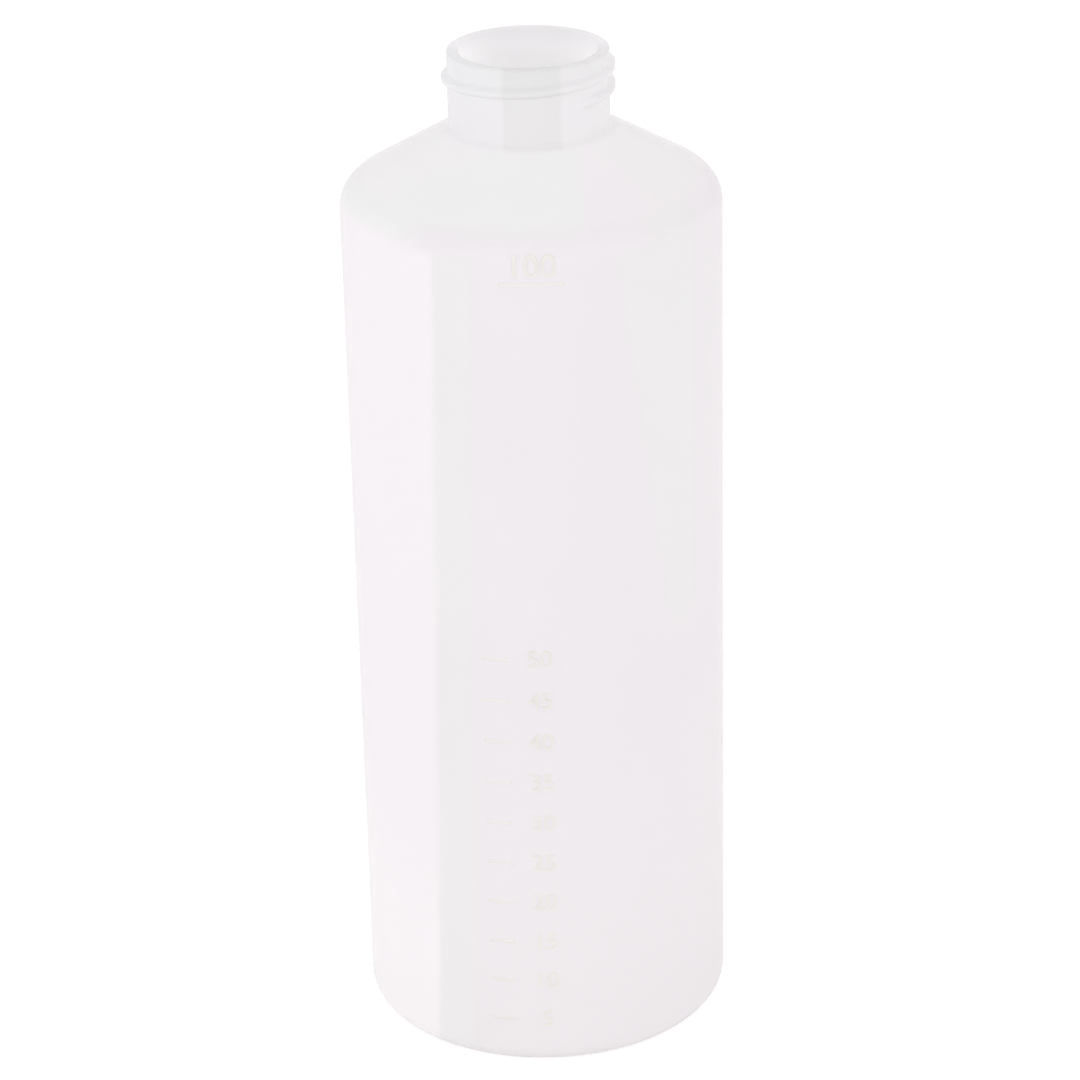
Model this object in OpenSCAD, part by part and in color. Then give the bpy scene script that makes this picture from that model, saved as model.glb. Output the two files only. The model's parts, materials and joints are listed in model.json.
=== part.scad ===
// Round soap dispenser bottle of one litre, blow moulded in one piece from natural polyethylene.
// It is open at the top, where a dispenser head screws onto its neck.
// It stands on its base: +Z is up, and the origin is the centre of the standing ring.

/* [Body] */
// Outside diameter of the straight body
body_d = 83; // [70:0.5:95]
// Height from the standing ring to the sealing rim
bottle_h = 227; // [190:1:260]
// Thickness of the wall of body and shoulder
wall = 1; // [0.7:0.1:1.6]
// Radius of the heel, where the wall turns into the base
heel_r = 4.5; // [3:0.25:7]
// Radius of the corner between the body and the shoulder
corner_r = 6.5; // [3:0.25:10]
// Slope of the shoulder above the horizontal, in degrees
shoulder_slope = 30; // [22:0.5:40]

/* [Base] */
// Thickness of the base
base_wall = 1.4; // [1:0.1:2.5]
// Width of the flat ring that the bottle stands on
ring_w = 3.5; // [2:0.25:6]
// Height of the push-up at the middle of the base
push_up = 4.5; // [2:0.25:8]
// Length of the pinched seam that the mould leaves across the base
seam_l = 42; // [20:1:56]
// Width of that seam
seam_w = 1.2; // [0.8:0.1:2]
// Height of that seam
seam_h = 0.5; // [0.3:0.05:0.8]

/* [Neck] */
// Outside diameter of the neck, under its thread
neck_d = 34.9; // [32:0.1:38]
// Height of the neck, from the shoulder to the sealing rim
neck_h = 16.6; // [14.5:0.1:22]
// Diameter of the mouth's bore
bore_d = 30; // [26:0.1:31]
// Radius of the fillet between the shoulder and the neck
neck_fillet_r = 1.5; // [0.5:0.1:2.5]
// Radius of the inner edge, where the bore opens into the shoulder
throat_r = 2.5; // [1:0.1:4]
// Chamfer of the sealing rim, on both edges
rim_chamfer = 0.4; // [0.2:0.05:0.7]

/* [Thread] */
// Outside diameter over the thread's crest
thread_d = 37.3; // [36.1:0.1:38.5]
// Rise of the thread in one turn
thread_pitch = 4.4; // [4:0.1:6]
// Length of the thread in turns
thread_turns = 1.28; // [1:0.02:1.6]
// Distance from the sealing rim down to the middle of the thread's upper end
thread_drop = 3.3; // [2.4:0.1:4.5]
// Width of the thread at its foot
thread_foot_w = 2.6; // [2.2:0.1:3.4]
// Width of the thread at its crest
thread_crest_w = 1; // [0.8:0.1:1.6]
// Turn over which each end of the thread fades into the neck, in degrees
thread_fade = 34; // [15:1:60]
// Place of the thread's upper end round the neck, in degrees from +X
thread_end_at = 40; // [0:5:355]

/* [Scale] */
// Number of lines of the moulded scale
scale_lines = 10; // [2:1:15]
// Height from one line to the next
scale_step = 10; // [7:0.5:12]
// Height of the lowest line above the standing ring
scale_start = 12; // [10:0.5:30]
// Length of a line, along the wall
line_l = 6; // [3:0.5:12]
// Length of the full line under the shoulder
full_line_l = 14; // [6:0.5:30]
// Width of a line
line_w = 0.9; // [0.5:0.1:1.5]
// Height of a line above the wall
line_h = 0.25; // [0.15:0.05:0.4]
// Distance from the top of the straight wall down to the full line
full_line_drop = 4.5; // [1:0.5:10]
// Place of the middle of the lines round the body, in degrees from +X
line_at = 256; // [200:1:340]
// Place of the middle of the full line, in degrees from +X
full_line_at = 269.5; // [200:0.5:340]

/* [Hidden] */
$fn = 128;
body_r = body_d / 2;
neck_r = neck_d / 2;
bore_r = bore_d / 2;
thread_r = thread_d / 2;
// Steps in a quarter of a round corner, and in one turn of the thread
arc_steps = 18;
turn_steps = 72;
// Depth to which the thread, the lines and the seam reach into the wall that carries them
bite = 0.4;
neck_foot_z = bottle_h - neck_h;
// Sharp outside corner of body and shoulder, before it is rounded
corner_z = neck_foot_z - (body_r - neck_r) * tan(shoulder_slope);
// A round corner between an upright wall and the shoulder starts this share of its radius away
corner_reach = tan((90 - shoulder_slope) / 2);
wall_top_z = corner_z - corner_r * corner_reach;
// The inside of the shoulder lies this far under the outside, measured upright
shoulder_drop = wall / cos(shoulder_slope);
inner_r = body_r - wall;
inner_corner_r = corner_r - wall;
inner_corner_z = corner_z - shoulder_drop + wall * tan(shoulder_slope);
// Sharp inside corner of shoulder and bore, before it is rounded
throat_z = neck_foot_z - shoulder_drop + (neck_r - bore_r) * tan(shoulder_slope);
inner_heel_r = heel_r - wall;
ring_outer_r = body_r - heel_r;
ring_inner_r = ring_outer_r - ring_w;
// The push-up is part of a ball
dome_r = (ring_inner_r ^ 2 + push_up ^ 2) / (2 * push_up);
dome_z = push_up - dome_r;
inner_dome_r = dome_r + base_wall;

// Points of an arc round a centre, from one angle to another
function arc(centre, r, from, to, steps = arc_steps) =
    [for (i = [0 : steps]) centre + r * [cos(from + (to - from) * i / steps), sin(from + (to - from) * i / steps)]];

// Smooth rise from 0 to 1
function ease(t) = t <= 0 ? 0 : t >= 1 ? 1 : t * t * (3 - 2 * t);

// Outside of the bottle, from the middle of the base out and up to the rim
outside = concat(
    arc([0, dome_z], dome_r, 90, acos(ring_inner_r / dome_r)),
    arc([body_r - heel_r, heel_r], heel_r, -90, 0),
    arc([body_r - corner_r, wall_top_z], corner_r, 0, 90 - shoulder_slope),
    arc(
        [neck_r + neck_fillet_r, neck_foot_z + neck_fillet_r * (1 / cos(shoulder_slope) - tan(shoulder_slope))],
        neck_fillet_r, 270 - shoulder_slope, 180
    ),
    [[neck_r, bottle_h - rim_chamfer], [neck_r - rim_chamfer, bottle_h]]
);

// Inside of the bottle, from the rim down to the middle of the base
inside = concat(
    [[bore_r + rim_chamfer, bottle_h], [bore_r, bottle_h - rim_chamfer]],
    arc([bore_r + throat_r, throat_z + throat_r * corner_reach], throat_r, 180, 270 - shoulder_slope),
    arc(
        [inner_r - inner_corner_r, inner_corner_z - inner_corner_r * corner_reach],
        inner_corner_r, 90 - shoulder_slope, 0
    ),
    arc([inner_r - inner_heel_r, base_wall + inner_heel_r], inner_heel_r, 0, -90),
    arc([0, dome_z], inner_dome_r, asin((base_wall - dome_z) / inner_dome_r), 90)
);

// The blown shell: one wall from the base to the rim, thicker at the neck and the base
module shell() {
    rotate_extrude() polygon(concat(outside, inside));
}

// Section of the thread, as pairs of radius and height, where t says how far it stands out
function thread_section(t) =
    let (crest = neck_r - bite / 2 + t * (thread_r - neck_r + bite / 2))
    let (shoulder = crest - t * (thread_r - neck_r) / 3)
    let (middle_w = (thread_foot_w + thread_crest_w) / 2)
    [
        [neck_r - bite, -thread_foot_w / 2],
        [neck_r - bite / 2, -thread_foot_w / 2],
        [shoulder, -middle_w / 2],
        [crest, -thread_crest_w / 2],
        [crest, thread_crest_w / 2],
        [shoulder, middle_w / 2],
        [neck_r - bite / 2, thread_foot_w / 2],
        [neck_r - bite, thread_foot_w / 2]
    ];

// The right-hand thread of the neck, which fades in and out
module thread() {
    sweep = thread_turns * 360;
    steps = ceil(thread_turns * turn_steps);
    sides = len(thread_section(1));
    points = [
        for (i = [0 : steps])
        let (turned = sweep * i / steps)
        let (at = thread_end_at - sweep + turned)
        let (middle_z = bottle_h - thread_drop - thread_pitch * (sweep - turned) / 360)
        for (p = thread_section(ease(min(turned, sweep - turned) / thread_fade)))
        [p[0] * cos(at), p[0] * sin(at), middle_z + p[1]]
    ];
    skin = [
        for (i = [0 : steps - 1])
        for (k = [0 : sides - 1])
        let (a = i * sides + k)
        let (b = i * sides + (k + 1) % sides)
        for (face = [[a, b, b + sides], [a, b + sides, a + sides]])
        face
    ];
    start_cap = [for (k = [0 : sides - 1]) sides - 1 - k];
    end_cap = [for (k = [0 : sides - 1]) steps * sides + k];
    polyhedron(points, concat([start_cap, end_cap], skin));
}

// One line of the scale, l long and w wide, raised from the wall at height z, with its middle at an angle
module scale_line(z, at, l, w = line_w) {
    turn = l / body_r * 180 / PI;
    rotate([0, 0, at - turn / 2])
        translate([0, 0, z])
            rotate_extrude(angle = turn)
                polygon([
                    [body_r - bite, -w / 2],
                    [body_r, -w / 2],
                    [body_r + line_h, -w / 2 + line_h],
                    [body_r + line_h, w / 2 - line_h],
                    [body_r, w / 2],
                    [body_r - bite, w / 2]
                ]);
}

// The moulded scale: even lines up the lower half, and a full line under the shoulder
module scale_marks() {
    for (i = [0 : scale_lines - 1])
        scale_line(scale_start + i * scale_step, line_at, line_l);
    scale_line(wall_top_z - full_line_drop, full_line_at, full_line_l);
}

// The pinched seam across the push-up, where the two mould halves cut the blown tube off
module base_seam() {
    intersection() {
        translate([-seam_l / 2, -seam_w / 2, -push_up])
            cube([seam_l, seam_w, 3 * push_up]);
        translate([0, 0, dome_z])
            difference() {
                sphere(r = dome_r + bite);
                sphere(r = dome_r - seam_h);
            }
    }
}

module bottle() {
    color([0.94, 0.93, 0.94])
    union() {
        shell();
        thread();
        scale_marks();
        base_seam();
    }
}

bottle();
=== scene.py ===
"""The looks of the soap dispenser bottle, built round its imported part."""

import json
import math

import bmesh
import bpy
from mathutils import Matrix, Vector


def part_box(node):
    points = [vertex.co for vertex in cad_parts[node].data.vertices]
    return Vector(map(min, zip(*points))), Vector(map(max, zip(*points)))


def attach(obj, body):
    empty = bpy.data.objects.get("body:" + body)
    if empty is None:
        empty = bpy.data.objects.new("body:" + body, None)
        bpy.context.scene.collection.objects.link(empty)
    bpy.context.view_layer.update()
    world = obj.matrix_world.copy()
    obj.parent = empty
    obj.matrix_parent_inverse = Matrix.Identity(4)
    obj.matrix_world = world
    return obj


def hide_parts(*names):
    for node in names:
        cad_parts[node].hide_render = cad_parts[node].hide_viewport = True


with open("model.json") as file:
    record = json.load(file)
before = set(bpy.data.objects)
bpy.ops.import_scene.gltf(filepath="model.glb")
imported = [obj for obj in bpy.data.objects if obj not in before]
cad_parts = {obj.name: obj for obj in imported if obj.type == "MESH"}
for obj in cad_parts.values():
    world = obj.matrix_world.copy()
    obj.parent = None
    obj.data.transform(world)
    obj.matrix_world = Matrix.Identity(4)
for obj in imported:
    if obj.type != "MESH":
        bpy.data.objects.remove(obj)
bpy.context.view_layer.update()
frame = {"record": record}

# Sizes of the bottle, in millimetres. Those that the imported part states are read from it.
MM = 0.001
mounts = {mount["name"]: mount for mount in frame["record"]["mounts"]}
BODY_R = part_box("bottle")[1].x / MM
HEIGHT = mounts["sealing_rim"]["pos_m"][2] / MM
BORE_R = mounts["neck_bore"]["dims"]["r_mm"]
WALL = 1.0
HEEL_R = 4.5
CORNER_R = 6.5
SHOULDER_SLOPE = math.radians(30.0)
BASE_WALL = 1.4
RING_W = 3.5
PUSH_UP = 4.5
SEAM_L = 42.0
SEAM_W = 1.2
SEAM_H = 0.5
# How far the seam's sides reach into the base
SEAM_ROOT = 0.2
NECK_R = 17.45
NECK_H = 16.6
NECK_FILLET_R = 1.5
THROAT_R = 2.5
RIM_CHAMFER = 0.4
# Points across a chamfered edge of the rim, from the neck up: shares of the chamfer inwards and down
RIM_POINTS = ((0.0, 1.0), (0.3, 0.3), (1.0, 0.0))

# The thread. Its fade and the place of its upper end are in degrees, counted from +X.
THREAD_H = 1.2
THREAD_PITCH = 4.4
THREAD_TURNS = 1.28
THREAD_DROP = 3.3
THREAD_FOOT_W = 2.6
THREAD_CREST_W = 1.0
THREAD_FADE = 34.0
THREAD_END_AT = 40.0

# The moulded scale. The places of lines and numbers round the body are in degrees from +X.
SCALE_LINES = 10
SCALE_STEP = 10.0
SCALE_START = 12.0
LINE_L = 6.0
LINE_AT = 256.0
LINE_W = 0.9
LINE_H = 0.25
FULL_LINE_DROP = 4.5
FULL_LINE_L = 14.0
NUMBERS_AT = 269.5
NUMBER_H = 4.0
FULL_NUMBER_H = 5.0
# Height of a number as a share of its font's size
NUMBER_SHARE = 0.7
NUMBER_STEP = 5
FULL_NUMBER = 100
NUMBER_RISE = 0.12
NUMBER_GAP = 0.8
# Distance from a line's foot to the next row or column of the skin
GUARD = 0.12

# How finely the skin is divided. A plain row or column is left out where it would lie this close
# to one of the scale's lines, in millimetres and in degrees.
COLUMNS = 240
ARC_STEPS = 10
CONE_STEPS = 4
SEAM_STEPS = 28
NUMBER_STEPS = 4
WALL_ROW = 4.0
INNER_ROW = 12.0
THREAD_ROW = 0.25
ROW_GAP = 0.6
COLUMN_GAP = 0.3
TINY = 1e-6

# The camera, as fitted to the photograph's outline of the bottle
CAMERA_BACK = 0.7719
CAMERA_HEIGHT = 0.4528
CAMERA_PITCH = math.radians(23.81)
CAMERA_ROLL = math.radians(-1.283)
CAMERA_PAN = math.radians(-0.022)
PHOTO_SIDE = 1080
FOCAL_PIXELS = 3742
SENSOR = 36.0
CAMERA_CLIP = (0.01, 50.0)

# Tones of the plastic, in linear light. Several of them are painted light and shade, as marked.
BODY_TONE = (0.926, 0.904, 0.920)
# Painted light: the wall grows paler towards the foot, where the floor leaves it in shade
FOOT_LIGHT_TONE = (0.965, 0.945, 0.954)
# Painted shadow: the heel is darker where it stands on the floor
HEEL_SHADOW_TONE = (0.920, 0.902, 0.911)
# Painted shade: a darker band at the corner of wall and shoulder
CORNER_SHADE_TONE = (0.934, 0.913, 0.929)
# Painted light: the shoulder is paler up towards the neck
SHOULDER_LIGHT_TONE = (0.981, 0.960, 0.975)
# Greyer tone: random clouds on the wall, and painted shade on the shoulder's left front
GREY_CLOUD_AND_SHADE_TONE = (0.962, 0.974, 0.966)
# Painted reflection: the pale stretch at the left of the wall
PALE_REFLECTION_TONE = (0.998, 0.977, 0.991)
LINE_TONE = (0.960, 0.950, 0.890)
# Painted light: the inside of the bottle is paler than the outside
LIT_INSIDE_TONE = (0.991, 0.983, 0.988)
NECK_TONE = (0.923, 0.916, 0.922)
# Painted light: the neck's left has a tone of its own, set against the key light that falls there
NECK_LEFT_LIGHT_TONE = (0.922, 0.919, 0.927)
# Painted reflection: a darker upright strip at the neck's front
STRIP_REFLECTION_TONE = (0.877, 0.874, 0.876)
# Painted light: the back of the neck is paler, so that the mouth's inside looks brighter
NECK_BACK_LIGHT_TONE = (0.955, 0.947, 0.954)
WHITE = (1.0, 1.0, 1.0)
# Factor that makes a stretch of the wall greyer, as a painted reflection
GREY_REFLECTION_GAIN = (0.998, 1.02, 1.002)
# Shares of one tone that go over another
CLOUD_SHARE = 0.2
# Painted light: share of white on the shoulder's sides
AROUND_LIGHT_SHARE = 0.5
LINE_SHARE = 0.7
LOW_SHARE, HIGH_SHARE = 0.75, 0.25

# Where one tone passes into another, as the start and the end of a smooth change, in millimetres.
# Sideways and to the back, they are counted from the axis.
FRONT_HALF = (18.0, -6.0)
NECK_BACK = (-4.0, 4.0)
SHOULDER_GREY_X = (12.5, 9.5)
STRIP_LEFT_X, STRIP_RIGHT_X = (-6.0, -5.0), (7.5, 6.0)
NECK_LEFT_X = (-4.0, -10.0)
CORNER_FRONT_Y = (-26.0, -36.0)
AROUND_Y = (-30.0, -12.0)
# The edges on the wall lean with the height. They are counted from the axis at the height 0.
LEFT_LEAN = 0.021
PALE_REFLECTION_X = (-23.6, -26.4)
GREY_LEFT_X = (-15.5, -18.5)
RIGHT_LEAN = -0.125
GREY_RIGHT_INNER_X, GREY_RIGHT_OUTER_X = (40.5, 43.0), (35.0, 32.5)
# Heights above the standing ring
HEEL_Z = (3.5, 0.5)
FOOT_Z = (115.0, 10.0)
REFLECTION_FOOT_Z = (85.0, 15.0)
GREY_RIGHT_Z = (100.0, 112.0)
# Heights from the sharp corner of wall and shoulder
CORNER_LOW_DZ, CORNER_HIGH_DZ = (-5.0, -1.5), (3.5, 0.0)
SHOULDER_GREY_DZ = (-2.5, 0.5)
PALE_REFLECTION_TOP_DZ = (2.5, -0.5)
SHOULDER_LOW_DZ, SHOULDER_HIGH_DZ = (-1.0, 3.0), (2.5, 11.5)
AROUND_DZ = (0.5, 4.5)
# Heights from the neck's foot
NECK_TONE_DZ = (-1.4, 0.2)
NECK_GLOW_DZ = (-0.4, 2.6)

# Heights of the surface's relief, in millimetres
WAVE_H = 0.12
GRAIN_H = 0.0015
PARTING_H = 0.05
# Distance from the middle of the parting line at which it starts and is whole, in millimetres
PARTING_Y = (0.3, 0.1)
# Scale, detail and roughness of each noise, and the part of the clouds' noise that shows
WAVE_NOISE = (38.0, 1.0, 0.4)
GRAIN_NOISE = (2600.0, 2.0, 0.6)
CLOUD_NOISE = (16.0, 2.0, 0.45)
CLOUD_RANGE = (0.4, 0.6)
ROUGHNESS = 0.13
IOR = 1.5
# Share of the light that goes through a surface of the plastic instead of back
GLOW = 0.5
NECK_GLOW = 0.92
INSIDE_GLOW = 0.96
# How much less of it goes through the painted reflection's pale stretch at the foot, so that the painted
# reflection stays pale there
REFLECTION_FOOT_GLOW_CUT = 0.17

# The light. The floor looks this much brighter than it is lit, so that it shows as white.
WORLD_LIGHT = 0.77
KEY_POWER = 4.4
KEY_PLACE = (-1.0, -0.7, 0.45)
KEY_SIZE = (0.9, 0.7)
FILL_POWER = 4.2
FILL_PLACE = (1.0, -0.8, 0.4)
FILL_SIZE = (0.8, 0.7)
LAMP_AIM = (0.0, 0.0, 0.1)
FLOOR_TONE = (0.88, 0.88, 0.88)
FLOOR_HALF = 6.0
FLOOR_LIFT = 0.35


def smooth_step(t):
    """Smooth rise from 0 to 1."""
    t = min(max(t, 0.0), 1.0)
    return t * t * (3 - 2 * t)


def arc(centre, r, start, end, steps=ARC_STEPS):
    """Points of an arc round a centre, from one angle to another, in degrees."""
    turns = [math.radians(start + (end - start) * i / steps) for i in range(steps + 1)]
    return [(centre[0] + r * math.cos(t), centre[1] + r * math.sin(t)) for t in turns]


def rows(start, end, step):
    """Even heights from start to end, both left out, about a step apart."""
    count = max(1, round(abs(end - start) / step))
    return [start + (end - start) * i / count for i in range(1, count)]


# Places that follow from the sizes
slope = math.tan(SHOULDER_SLOPE)
slope_degrees = math.degrees(SHOULDER_SLOPE)
reach = math.tan((math.pi / 2 - SHOULDER_SLOPE) / 2)
neck_foot_z = HEIGHT - NECK_H
corner_z = neck_foot_z - (BODY_R - NECK_R) * slope
wall_top_z = corner_z - CORNER_R * reach
shoulder_drop = WALL / math.cos(SHOULDER_SLOPE)
inner_r = BODY_R - WALL
inner_corner_r = CORNER_R - WALL
inner_corner_z = corner_z - shoulder_drop + WALL * slope
throat_z = neck_foot_z - shoulder_drop + (NECK_R - BORE_R) * slope
inner_heel_r = HEEL_R - WALL
ring_inner_r = BODY_R - HEEL_R - RING_W
dome_r = (ring_inner_r**2 + PUSH_UP**2) / (2 * PUSH_UP)
dome_z = PUSH_UP - dome_r
scale_heights = [SCALE_START + i * SCALE_STEP for i in range(SCALE_LINES)]
full_line_z = wall_top_z - FULL_LINE_DROP


def line_rows():
    """Heights of the rows across a line of the scale, from its middle."""
    half = LINE_W / 2
    return (-half - GUARD, -half, -half + LINE_H, half - LINE_H, half, half + GUARD)


def scale_lines():
    """Each line of the scale, as its height, its middle's angle and its length."""
    return [(z, LINE_AT, LINE_L) for z in scale_heights] + [(full_line_z, NUMBERS_AT, FULL_LINE_L)]


def line_relief(turn, z):
    """How far a line of the scale stands out there, as a share of its height."""
    for line_z, middle, length in scale_lines():
        if abs(z - line_z) > LINE_W / 2:
            continue
        along = math.radians(turn - middle) * BODY_R
        across = (LINE_W / 2 - abs(z - line_z)) / LINE_H
        ends = (length / 2 - abs(along)) / LINE_H
        return min(max(min(across, ends), 0.0), 1.0)
    return 0.0


def thread_relief(turn, z):
    """How far the thread stands out of the neck there, in millimetres."""
    best = 0.0
    sweep = THREAD_TURNS * 360
    for lap in range(-3, 3):
        left = THREAD_END_AT - (turn + lap * 360)
        if not 0 <= left <= sweep:
            continue
        middle = HEIGHT - THREAD_DROP - THREAD_PITCH * left / 360
        fade = smooth_step(min(left, sweep - left) / THREAD_FADE)
        flank = (THREAD_FOOT_W / 2 - abs(z - middle)) / ((THREAD_FOOT_W - THREAD_CREST_W) / 2)
        best = max(best, THREAD_H * fade * smooth_step(flank))
    return best


def wall_heights(bottom, top):
    """Heights of the straight wall's rows, with extra ones at each line of the scale."""
    edges = [line[0] + dz for line in scale_lines() for dz in line_rows()]
    plain = [z for z in rows(bottom, top, WALL_ROW) if min(abs(z - e) for e in edges) > ROW_GAP]
    return sorted(plain + edges)


def outside():
    """The outer skin from the middle of the base to the rim: kind of row, radius and height."""
    dome = arc((0, dome_z), dome_r, 90, math.degrees(math.acos(ring_inner_r / dome_r)))
    heel = arc((BODY_R - HEEL_R, HEEL_R), HEEL_R, -90, 0)
    corner = arc((BODY_R - CORNER_R, wall_top_z), CORNER_R, 0, 90 - slope_degrees)
    fillet_z = neck_foot_z + NECK_FILLET_R * (1 / math.cos(SHOULDER_SLOPE) - slope)
    fillet = arc((NECK_R + NECK_FILLET_R, fillet_z), NECK_FILLET_R, 270 - slope_degrees, 180)
    wall = [(BODY_R, z) for z in wall_heights(HEEL_R, wall_top_z)]
    low, high = Vector(corner[-1]), Vector(fillet[0])
    cone = [tuple(low.lerp(high, i / CONE_STEPS)) for i in range(1, CONE_STEPS)]
    neck = [(NECK_R, z) for z in rows(fillet_z, HEIGHT - RIM_CHAMFER, THREAD_ROW)]
    rim = [(NECK_R - RIM_CHAMFER * a, HEIGHT - RIM_CHAMFER * b) for a, b in RIM_POINTS]
    plain = dome + [(BODY_R - HEEL_R - RING_W / 2, 0)] + heel
    stretches = [("plain", plain), ("wall", wall), ("plain", corner + cone + fillet)]
    stretches += [("neck", neck), ("plain", rim)]
    return [(kind, r, z) for kind, points in stretches for r, z in points]


def inside():
    """The inner skin from the rim to the middle of the base."""
    rim = [(BORE_R + RIM_CHAMFER * a, HEIGHT - RIM_CHAMFER * b) for a, b in reversed(RIM_POINTS)]
    bore = [(BORE_R, z) for z in rows(HEIGHT - RIM_CHAMFER, throat_z + THROAT_R * reach, WALL_ROW)]
    throat = arc((BORE_R + THROAT_R, throat_z + THROAT_R * reach), THROAT_R, 180, 270 - slope_degrees)
    corner_middle = (inner_r - inner_corner_r, inner_corner_z - inner_corner_r * reach)
    corner = arc(corner_middle, inner_corner_r, 90 - slope_degrees, 0)
    wall = [(inner_r, z) for z in rows(corner[-1][1], BASE_WALL + inner_heel_r, INNER_ROW)]
    heel = arc((inner_r - inner_heel_r, BASE_WALL + inner_heel_r), inner_heel_r, 0, -90)
    floor_r = dome_r + BASE_WALL
    dome = arc((0, dome_z), floor_r, math.degrees(math.asin((BASE_WALL - dome_z) / floor_r)), 90)
    plain = [("plain", r, z) for r, z in rim]
    return plain + [("inside", r, z) for r, z in bore + throat + corner + wall + heel + dome]


def columns():
    """Angles of the skin's columns, with extra ones at the ends of the scale's lines."""
    extra = []
    for middle, length in ((LINE_AT, LINE_L), (NUMBERS_AT, FULL_LINE_L)):
        for end in (length / 2 + GUARD, length / 2, length / 2 - LINE_H):
            extra += [middle - math.degrees(end / BODY_R), middle + math.degrees(end / BODY_R)]
    even = [i * 360 / COLUMNS for i in range(COLUMNS)]
    return sorted([t for t in even if min(abs(t - e) for e in extra) > COLUMN_GAP] + extra)


def make_object(name, bm):
    """A smooth-shaded object from a bmesh, which rides on the part."""
    bmesh.ops.recalc_face_normals(bm, faces=bm.faces)
    mesh = bpy.data.meshes.new(name)
    bm.to_mesh(mesh)
    bm.free()
    mesh.shade_smooth()
    thing = bpy.data.objects.new(name, mesh)
    bpy.context.scene.collection.objects.link(thing)
    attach(thing, "root")
    return thing


def build_skin():
    """The bottle's whole skin, outside and inside, as one closed surface."""
    bm = bmesh.new()
    marked = bm.verts.layers.float.new("line")
    inner_side = bm.verts.layers.float.new("inside")
    turns = columns()
    rings = []
    for kind, r, z in outside() + inside():
        if r < TINY:
            vert = bm.verts.new((0, 0, z * MM))
            vert[inner_side] = kind == "inside"
            rings.append([vert])
            continue
        ring = []
        for turn in turns:
            line = line_relief(turn, z) if kind == "wall" else 0.0
            out = r + line * LINE_H + (thread_relief(turn, z) if kind == "neck" else 0.0)
            a = math.radians(turn)
            vert = bm.verts.new((out * math.cos(a) * MM, out * math.sin(a) * MM, z * MM))
            vert[marked] = line
            vert[inner_side] = kind == "inside"
            ring.append(vert)
        rings.append(ring)
    for low, high in zip(rings, rings[1:]):
        for j in range(len(turns)):
            k = (j + 1) % len(turns)
            corners = [low[j % len(low)], low[k % len(low)], high[k % len(high)], high[j % len(high)]]
            bm.faces.new(list(dict.fromkeys(corners)))
    return make_object("bottle_skin", bm)


def build_base_seam():
    """The pinched seam across the push-up."""
    bm = bmesh.new()
    foot, crest = SEAM_W / 2, SEAM_W / 4
    sections = []
    for i in range(SEAM_STEPS + 1):
        x = SEAM_L * (i / SEAM_STEPS - 1 / 2)
        surface = dome_z + math.sqrt(dome_r**2 - x**2)
        rise = SEAM_H * smooth_step(min(i, SEAM_STEPS - i) / 2)
        left = [(-foot, SEAM_ROOT), (-foot, 0.0), (-crest, -rise)]
        right = [(-y, dz) for y, dz in reversed(left)]
        sections.append([bm.verts.new(Vector((x, y, surface + dz)) * MM) for y, dz in left + right])
    for a, b in zip(sections, sections[1:]):
        for k in range(len(a)):
            n = (k + 1) % len(a)
            bm.faces.new((a[k], a[n], b[n], b[k]))
    bm.faces.new(sections[0])
    bm.faces.new(list(reversed(sections[-1])))
    return make_object("base_seam", bm)


def number_mesh(text, height):
    """A number's raised shape, lying flat, as a mesh with its middle at the origin."""
    curve = bpy.data.curves.new("number", "FONT")
    curve.body = text
    curve.size = height / NUMBER_SHARE
    curve.align_x = "CENTER"
    curve.align_y = "CENTER"
    curve.extrude = NUMBER_RISE
    curve.resolution_u = NUMBER_STEPS
    thing = bpy.data.objects.new("number", curve)
    bpy.context.scene.collection.objects.link(thing)
    mesh = bpy.data.meshes.new_from_object(thing)
    bpy.data.objects.remove(thing)
    return mesh


def build_numbers():
    """Plain numbers beside the lines and over the full line, raised from the wall."""
    placed = [(z, (i + 1) * NUMBER_STEP, NUMBER_H) for i, z in enumerate(scale_heights)]
    full_z = full_line_z + LINE_W / 2 + NUMBER_GAP + FULL_NUMBER_H / 2
    placed.append((full_z, FULL_NUMBER, FULL_NUMBER_H))
    bm = bmesh.new()
    for z, number, height in placed:
        mesh = number_mesh(str(number), height)
        for vert in mesh.vertices:
            turn = math.radians(NUMBERS_AT) + vert.co.x / BODY_R
            out = BODY_R + vert.co.z
            vert.co = Vector((out * math.cos(turn), out * math.sin(turn), z + vert.co.y)) * MM
        bm.from_mesh(mesh)
    bmesh.ops.remove_doubles(bm, verts=bm.verts, dist=TINY)
    marked = bm.verts.layers.float.new("line")
    for vert in bm.verts:
        vert[marked] = 1.0
    numbers = make_object("scale_numbers", bm)
    numbers.data.shade_flat()
    return numbers


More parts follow.
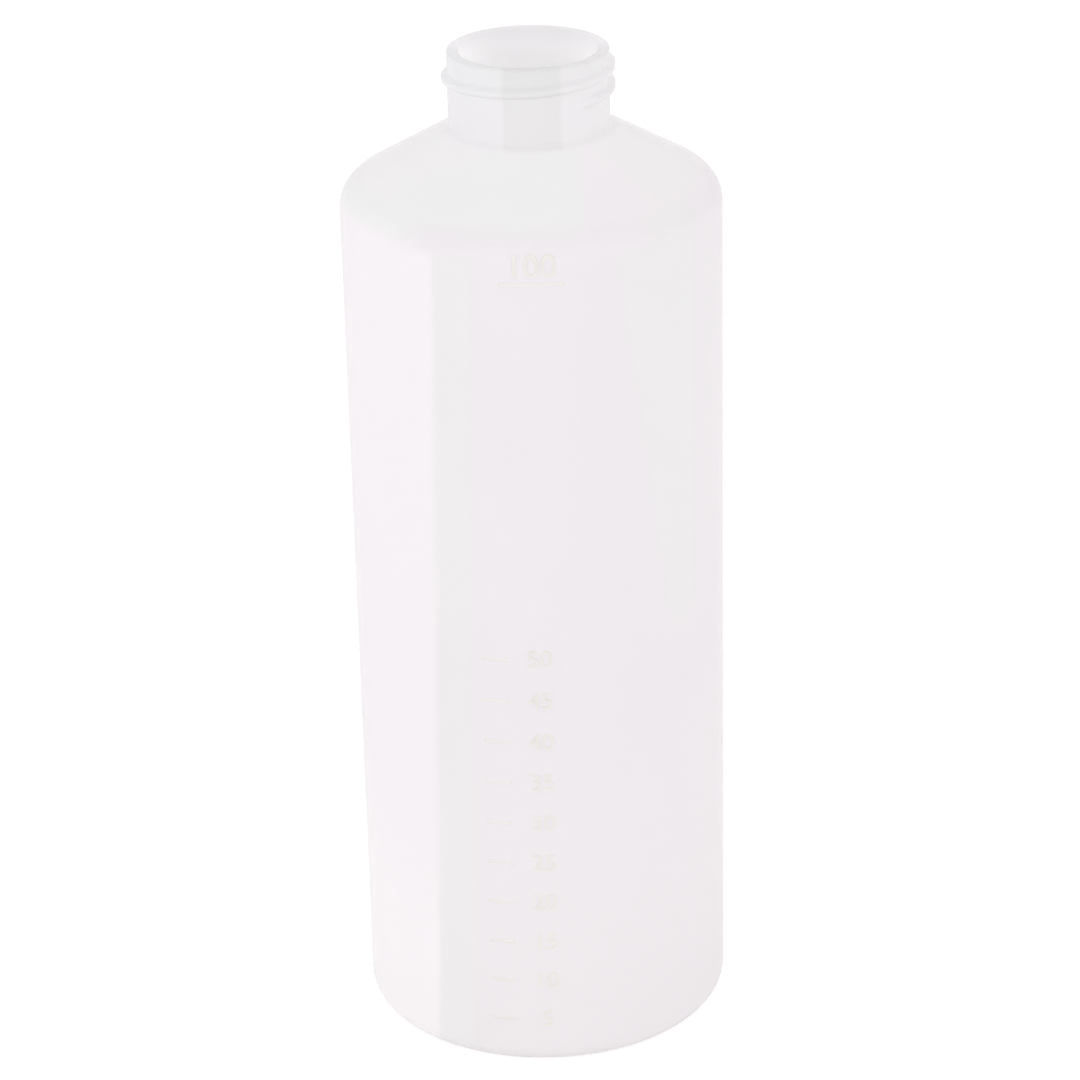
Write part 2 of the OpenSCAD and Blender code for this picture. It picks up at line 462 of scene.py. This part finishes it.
class Nodes:
    """Short ways to add nodes to a material's tree."""

    def __init__(self, name):
        self.material = bpy.data.materials.new(name)
        self.material.use_nodes = True
        self.tree = self.material.node_tree
        self.tree.nodes.clear()

    def add(self, kind, **values):
        """A node, with its properties and sockets set or linked by name."""
        node = self.tree.nodes.new(kind)
        for key, value in values.items():
            if hasattr(node, key):
                setattr(node, key, value)
                continue
            socket = node.inputs[int(key[1:])] if key[1:].isdigit() else node.inputs[key.replace("_", " ")]
            if isinstance(value, bpy.types.NodeSocket):
                self.tree.links.new(value, socket)
            else:
                socket.default_value = value
        return node

    def math(self, operation, a, b=0.0):
        """The output of a Math node."""
        return self.add("ShaderNodeMath", operation=operation, i0=a, i1=b).outputs[0]

    def times(self, a, b):
        """One value times another."""
        return self.math("MULTIPLY", a, b)

    def noise(self, place, scale, detail, roughness):
        """Soft noise from 0 to 1 over a place."""
        node = self.add("ShaderNodeTexNoise", Vector=place, Scale=scale, Detail=detail, Roughness=roughness)
        return node.outputs[0]

    def rise(self, value, start, end):
        """A smooth rise from 0 at start to 1 at end."""
        node = self.add("ShaderNodeMapRange", interpolation_type="SMOOTHSTEP", Value=value)
        node.inputs["From Min"].default_value = start
        node.inputs["From Max"].default_value = end
        return node.outputs[0]

    def mix(self, factor, a, b, blend="MIX"):
        """The output of a colour Mix node."""
        node = self.add("ShaderNodeMix", data_type="RGBA", blend_type=blend, i0=factor)
        for key, value in ((6, a), (7, b)):
            if isinstance(value, bpy.types.NodeSocket):
                self.tree.links.new(value, node.inputs[key])
            else:
                node.inputs[key].default_value = (*value, 1)
        return node.outputs[2]


def pale_share(n, x, y, z):
    """Where the painted reflection, a pale stretch at the left of the wall, lies, from 0 to 1."""
    leftward = n.math("SUBTRACT", x, n.times(z, LEFT_LEAN))
    pale_reflection = n.times(n.rise(leftward, *PALE_REFLECTION_X), n.rise(y, *FRONT_HALF))
    return n.times(pale_reflection, n.rise(n.math("SUBTRACT", z, corner_z), *PALE_REFLECTION_TOP_DZ))


def wall_tones(n, x, y, z, clouds, pale_reflection):
    """The colour of wall and base, with painted light in it: a painted reflection paler at the left,
    painted light paler at the foot, painted shadow darker at the heel, and painted reflections greyer in
    two stretches.
    """
    front = n.rise(y, *FRONT_HALF)
    colour = n.mix(n.times(n.rise(clouds, *CLOUD_RANGE), CLOUD_SHARE), BODY_TONE, GREY_CLOUD_AND_SHADE_TONE)
    # Painted light: paler towards the foot
    colour = n.mix(n.rise(z, *FOOT_Z), colour, FOOT_LIGHT_TONE)
    # Painted shadow: darker at the heel, where the bottle stands
    colour = n.mix(n.rise(z, *HEEL_Z), colour, HEEL_SHADOW_TONE)
    leftward = n.math("SUBTRACT", x, n.times(z, LEFT_LEAN))
    rightward = n.math("SUBTRACT", x, n.times(z, RIGHT_LEAN))
    left = n.times(n.rise(leftward, *reversed(PALE_REFLECTION_X)), n.rise(leftward, *GREY_LEFT_X))
    right = n.times(n.rise(rightward, *GREY_RIGHT_INNER_X), n.rise(x, *GREY_RIGHT_OUTER_X))
    right = n.times(right, n.rise(z, *GREY_RIGHT_Z))
    # Painted reflections: two upright stretches of the wall, made greyer
    painted_grey = n.times(n.math("MAXIMUM", left, right), front)
    colour = n.mix(painted_grey, colour, GREY_REFLECTION_GAIN, "MULTIPLY")
    # Painted reflection: a pale stretch at the left of the wall
    return n.mix(pale_reflection, colour, PALE_REFLECTION_TONE)


def shoulder_tones(n, colour, x, y, z):
    """The colour with the shoulder's painted light and shade over it: paler up towards the neck and round
    the sides, greyer at the left front, darker at the corner.
    """
    up = n.math("SUBTRACT", z, corner_z)
    low = n.times(n.rise(up, *SHOULDER_LOW_DZ), LOW_SHARE)
    high = n.times(n.rise(up, *SHOULDER_HIGH_DZ), HIGH_SHARE)
    # Painted light: the shoulder grows paler up towards the neck
    colour = n.mix(n.math("ADD", low, high), colour, SHOULDER_LIGHT_TONE)
    painted_grey = n.times(n.rise(x, *SHOULDER_GREY_X), n.rise(y, *FRONT_HALF))
    # Painted shade: the shoulder's left front is greyer
    colour = n.mix(n.times(painted_grey, n.rise(up, *SHOULDER_GREY_DZ)), colour, GREY_CLOUD_AND_SHADE_TONE)
    corner = n.times(n.rise(up, *CORNER_LOW_DZ), n.rise(up, *CORNER_HIGH_DZ))
    # Painted shade: a darker band along the shoulder's corner
    colour = n.mix(n.times(corner, n.rise(y, *CORNER_FRONT_Y)), colour, CORNER_SHADE_TONE)
    lit_around = n.times(n.rise(up, *AROUND_DZ), n.rise(y, *AROUND_Y))
    # Painted light: the shoulder's sides are paler
    return n.mix(n.times(lit_around, AROUND_LIGHT_SHARE), colour, WHITE)


def neck_tones(n, colour, x, back, up):
    """The colour with the neck's tones over it, with a painted reflection as a darker upright strip at its
    front, painted light at its left and painted light paler at its back.
    """
    # Painted reflection: a darker upright strip at the neck's front
    strip_reflection = n.times(n.rise(x, *STRIP_LEFT_X), n.rise(x, *STRIP_RIGHT_X))
    # Painted light: the neck's left has a tone of its own, set against the key light
    tone = n.mix(n.rise(x, *NECK_LEFT_X), NECK_TONE, NECK_LEFT_LIGHT_TONE)
    # Painted light: the back of the neck is paler, so that the mouth's inside looks brighter
    tone = n.mix(back, n.mix(strip_reflection, tone, STRIP_REFLECTION_TONE), NECK_BACK_LIGHT_TONE)
    return n.mix(n.rise(up, *NECK_TONE_DZ), colour, tone)


def relief(n, place, y, inner_side):
    """The surface's normal: soft waves, a fine grain and the parting line of the mould's halves."""
    parting = n.rise(n.math("ABSOLUTE", y), *PARTING_Y)
    parting = n.times(parting, n.math("SUBTRACT", 1.0, inner_side))
    height = n.times(n.noise(place, *WAVE_NOISE), WAVE_H * MM)
    height = n.math("ADD", height, n.times(parting, PARTING_H * MM))
    height = n.math("ADD", height, n.times(n.noise(place, *GRAIN_NOISE), GRAIN_H * MM))
    return n.add("ShaderNodeBump", Height=height, Strength=1.0, Distance=1.0).outputs[0]


def polyethylene():
    """Milky natural polyethylene, as it comes from a blow mould, with painted light, shade and reflections
    in its colour.
    """
    n = Nodes("natural_polyethylene")
    place = n.add("ShaderNodeTexCoord").outputs["Object"]
    line = n.add("ShaderNodeAttribute", attribute_name="line").outputs["Fac"]
    inner_side = n.add("ShaderNodeAttribute", attribute_name="inside").outputs["Fac"]
    x, y, z = [n.times(axis, 1 / MM) for axis in n.add("ShaderNodeSeparateXYZ", Vector=place).outputs]
    back = n.rise(y, *NECK_BACK)
    up = n.math("SUBTRACT", z, neck_foot_z)
    pale_reflection = pale_share(n, x, y, z)

    colour = wall_tones(n, x, y, z, n.noise(place, *CLOUD_NOISE), pale_reflection)
    colour = shoulder_tones(n, colour, x, y, z)
    colour = neck_tones(n, colour, x, back, up)
    # Painted light: the inner surface is paler
    colour = n.mix(inner_side, colour, LIT_INSIDE_TONE)
    colour = n.mix(n.times(line, LINE_SHARE), colour, LINE_TONE)

    normal = relief(n, place, y, inner_side)
    plastic = n.add("ShaderNodeBsdfPrincipled", Base_Color=colour, Roughness=ROUGHNESS, Normal=normal)
    plastic.inputs["IOR"].default_value = IOR
    glow = n.add("ShaderNodeBsdfTranslucent", Color=colour, Normal=normal)
    through = n.times(back, n.rise(up, *NECK_GLOW_DZ))
    through = n.add("ShaderNodeMapRange", Value=through, To_Min=GLOW, To_Max=NECK_GLOW).outputs[0]
    # The painted reflection lets less light through near the foot, so that it stays pale there
    reflection_foot = n.times(pale_reflection, n.rise(z, *REFLECTION_FOOT_Z))
    through = n.math("SUBTRACT", through, n.times(reflection_foot, REFLECTION_FOOT_GLOW_CUT))
    through = n.math("MAXIMUM", through, n.times(inner_side, INSIDE_GLOW))
    both = n.add("ShaderNodeMixShader", i0=through, i1=plastic.outputs[0], i2=glow.outputs[0])
    n.add("ShaderNodeOutputMaterial", Surface=both.outputs[0])
    return n.material


def floor_material():
    """White floor that keeps the bottle's shadow, and that looks brighter than it is lit."""
    n = Nodes("white_floor")
    path = n.add("ShaderNodeLightPath").outputs
    seen = n.math("MAXIMUM", path["Is Camera Ray"], path["Is Transmission Ray"])
    seen = n.math("MAXIMUM", seen, path["Is Glossy Ray"])
    paper = n.add("ShaderNodeBsdfDiffuse", Color=(*FLOOR_TONE, 1))
    light = n.add("ShaderNodeEmission", Strength=n.times(seen, FLOOR_LIFT))
    both = n.add("ShaderNodeAddShader", i0=paper.outputs[0], i1=light.outputs[0])
    n.add("ShaderNodeOutputMaterial", Surface=both.outputs[0])
    return n.material


def build_floor():
    """A wide white floor at the height that the bottle stands on."""
    bm = bmesh.new()
    bmesh.ops.create_grid(bm, x_segments=1, y_segments=1, size=FLOOR_HALF)
    mesh = bpy.data.meshes.new("floor")
    bm.to_mesh(mesh)
    bm.free()
    floor = bpy.data.objects.new("floor", mesh)
    mesh.materials.append(floor_material())
    bpy.context.scene.collection.objects.link(floor)


def build_world():
    """Even light from all sides, which the camera sees as white."""
    world = bpy.data.worlds.new("studio")
    world.use_nodes = True
    nodes, links = world.node_tree.nodes, world.node_tree.links
    nodes.clear()
    path = nodes.new("ShaderNodeLightPath")
    seen = nodes.new("ShaderNodeMath")
    seen.operation = "MAXIMUM"
    strength = nodes.new("ShaderNodeMapRange")
    strength.inputs["To Min"].default_value = WORLD_LIGHT
    strength.inputs["To Max"].default_value = 1.0
    background = nodes.new("ShaderNodeBackground")
    background.inputs["Color"].default_value = (1, 1, 1, 1)
    output = nodes.new("ShaderNodeOutputWorld")
    links.new(path.outputs["Is Camera Ray"], seen.inputs[0])
    links.new(path.outputs["Is Glossy Ray"], seen.inputs[1])
    links.new(seen.outputs[0], strength.inputs["Value"])
    links.new(strength.outputs[0], background.inputs["Strength"])
    links.new(background.outputs[0], output.inputs["Surface"])
    bpy.context.scene.world = world


def add_light(name, place, size, power):
    """A softbox at a place, turned to the bottle. It leaves no bright spot on the plastic."""
    lamp = bpy.data.lights.new(name, "AREA")
    lamp.shape = "RECTANGLE"
    lamp.size, lamp.size_y = size
    lamp.energy = power
    thing = bpy.data.objects.new(name, lamp)
    thing.location = place
    thing.rotation_euler = (Vector(LAMP_AIM) - Vector(place)).to_track_quat("-Z", "Y").to_euler()
    thing.visible_camera = False
    thing.visible_glossy = False
    bpy.context.scene.collection.objects.link(thing)


def build_camera():
    """The camera, at the photograph's place and angle."""
    data = bpy.data.cameras.new("camera")
    data.sensor_width = SENSOR
    data.lens = FOCAL_PIXELS / PHOTO_SIDE * SENSOR
    data.clip_start, data.clip_end = CAMERA_CLIP
    camera = bpy.data.objects.new("camera", data)
    tilt = Matrix.Rotation(math.pi / 2 - CAMERA_PITCH, 4, "X") @ Matrix.Rotation(CAMERA_ROLL, 4, "Z")
    tilt = Matrix.Rotation(CAMERA_PAN, 4, "Z") @ tilt
    camera.matrix_world = Matrix.Translation((0, -CAMERA_BACK, CAMERA_HEIGHT)) @ tilt
    bpy.context.scene.collection.objects.link(camera)
    bpy.context.scene.camera = camera


build_camera()
build_world()
build_floor()
add_light("key", KEY_PLACE, KEY_SIZE, KEY_POWER)
add_light("fill", FILL_PLACE, FILL_SIZE, FILL_POWER)

plastic = polyethylene()
skin = build_skin()
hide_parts("bottle")
for piece in (skin, build_base_seam(), build_numbers()):
    piece.data.materials.append(plastic)

bpy.context.scene.view_settings.view_transform = "Standard"
